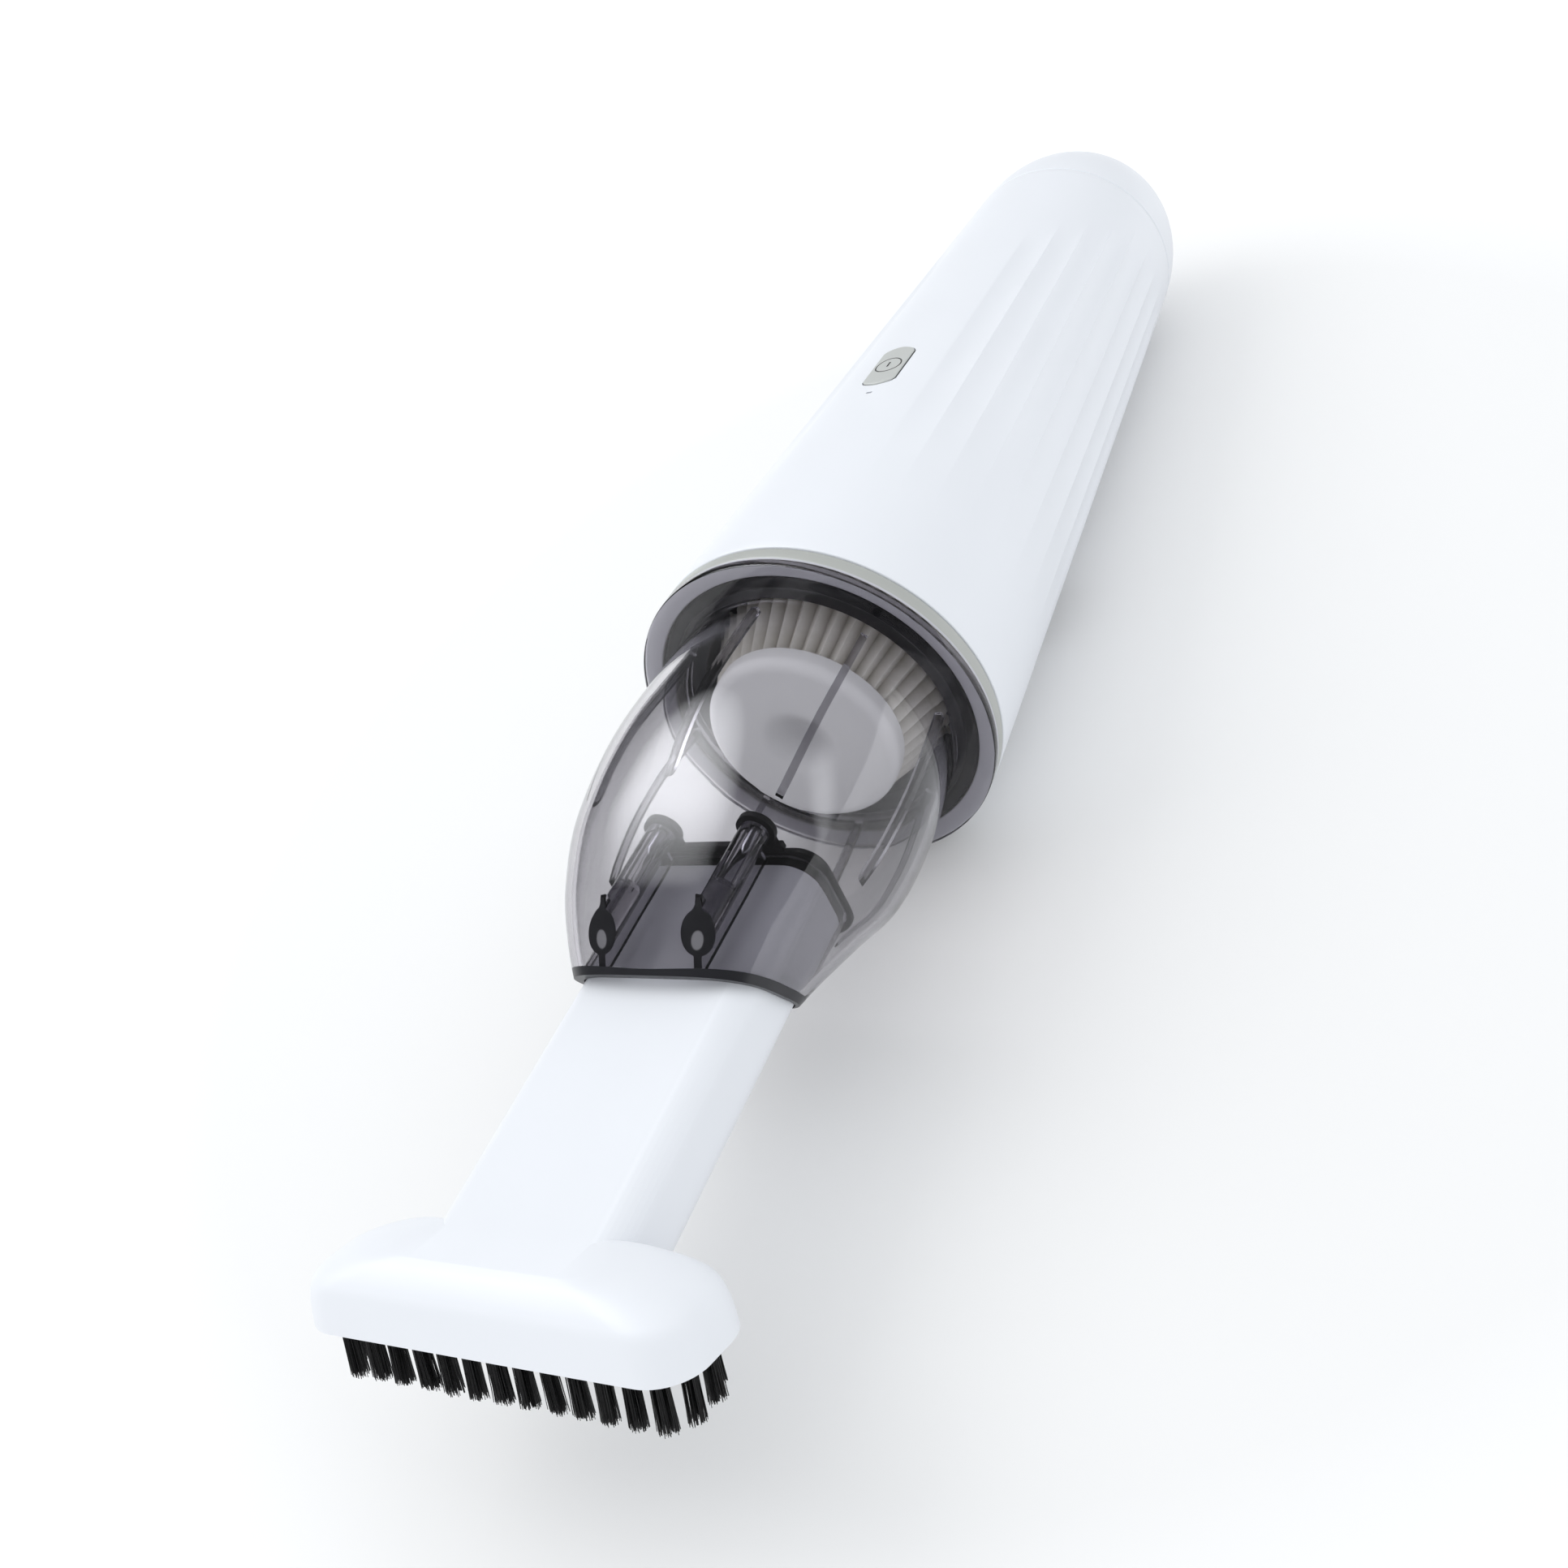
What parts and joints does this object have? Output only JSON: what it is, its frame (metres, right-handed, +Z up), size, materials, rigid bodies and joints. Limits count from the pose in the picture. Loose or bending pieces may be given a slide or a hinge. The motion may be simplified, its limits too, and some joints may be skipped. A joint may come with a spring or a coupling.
{
  "type": "handheld vacuum cleaner",
  "caption": "Cordless handheld vacuum cleaner: tapered fluted body with a push button, smoke-clear dust cup, pleated cone filter and a push-in dusting brush nozzle.",
  "frame": {"origin": "centre of the footprint, on the surface the vacuum lies on", "axes": "+Y towards the tail and -Y towards the brush, +Z up through the power button, X across"},
  "size_m": [0.0904, 0.4344, 0.09],
  "materials": {
    "white_plastic": "satin",
    "sage_plastic": "satin",
    "smoke_clear": "polished smoke-tinted clear plastic",
    "grey_plastic": "satin",
    "filter_paper": "matte pleated",
    "black_rubber": "matte",
    "black_bristle": "fine nylon strands",
    "dark_plastic": "matte",
    "light_guide": "clear",
    "steel": "bright",
    "motor_alloy": "satin",
    "battery_sleeve": "shrink sleeve",
    "board": "satin"
  },
  "bodies": {
    "body": {"body_shell": "white_plastic", "tail_cap": "white_plastic", "collar_ring": "sage_plastic", "led_light_pipe": "light_guide", "charging_socket": "steel", "circuit_board": "board", "tact_switch": "dark_plastic", "battery_plate_front": "dark_plastic", "battery_plate_rear": "dark_plastic", "battery_cell_left": "battery_sleeve", "battery_cell_right": "battery_sleeve", "battery_cell_top": "battery_sleeve", "bulkhead": "dark_plastic", "fan_housing": "dark_plastic", "motor_can": "motor_alloy", "motor_mount": "black_rubber", "motor_screw_left": "steel", "motor_screw_right": "steel"},
    "button": {"power_button": "sage_plastic"},
    "rotor": {"impeller": "grey_plastic", "motor_shaft": "steel"},
    "filter": {"filter_cap": "grey_plastic", "filter_pleats": "filter_paper", "filter_base": "grey_plastic", "filter_seal": "black_rubber", "cup_seal_ring": "black_rubber"},
    "cup": {"dust_cup": "smoke_clear", "flap_retainer": "dark_plastic", "flap_screw_left": "steel", "flap_screw_right": "steel"},
    "flap": {"flap_valve": "black_rubber"},
    "brush": {"nozzle": "white_plastic", "bristles_front": "black_bristle", "bristles_rear": "black_bristle", "bristles_left": "black_bristle", "bristles_right": "black_bristle"}
  },
  "joints": [
    {"name": "button_press", "type": "slide", "parent": "body", "child": "button", "axis": [0, -0.0549, -0.9985], "range_m": [0, 0.001], "stiffness_N_per_m": 1500},
    {"name": "rotor_spin", "type": "hinge", "parent": "body", "child": "rotor", "pos_m": [0, -0.0138, 0.04359], "axis": [0, 0.9985, -0.0549], "continuous": true},
    {"name": "cup_pull", "type": "slide", "parent": "body", "child": "cup", "axis": [0, -0.9985, 0.0549], "range_m": [0, 0.1]},
    {"name": "filter_pull", "type": "slide", "parent": "body", "child": "filter", "axis": [0, -0.9985, 0.0549], "range_m": [0, 0.04]},
    {"name": "nozzle_pull", "type": "slide", "parent": "cup", "child": "brush", "axis": [0, -0.9985, 0.0549], "range_m": [0, 0.045]},
    {"name": "flap_open", "type": "hinge", "parent": "cup", "child": "flap", "pos_m": [0, -0.09159, 0.05308], "axis": [1, 0, 0], "range_deg": [0, 60], "stiffness_Nm_per_rad": 0.002, "springref_deg": -5.73}
  ],
  "couplings": [
    {"joint": "filter_pull", "follows": "cup_pull", "ratio": 0.4}
  ]
}
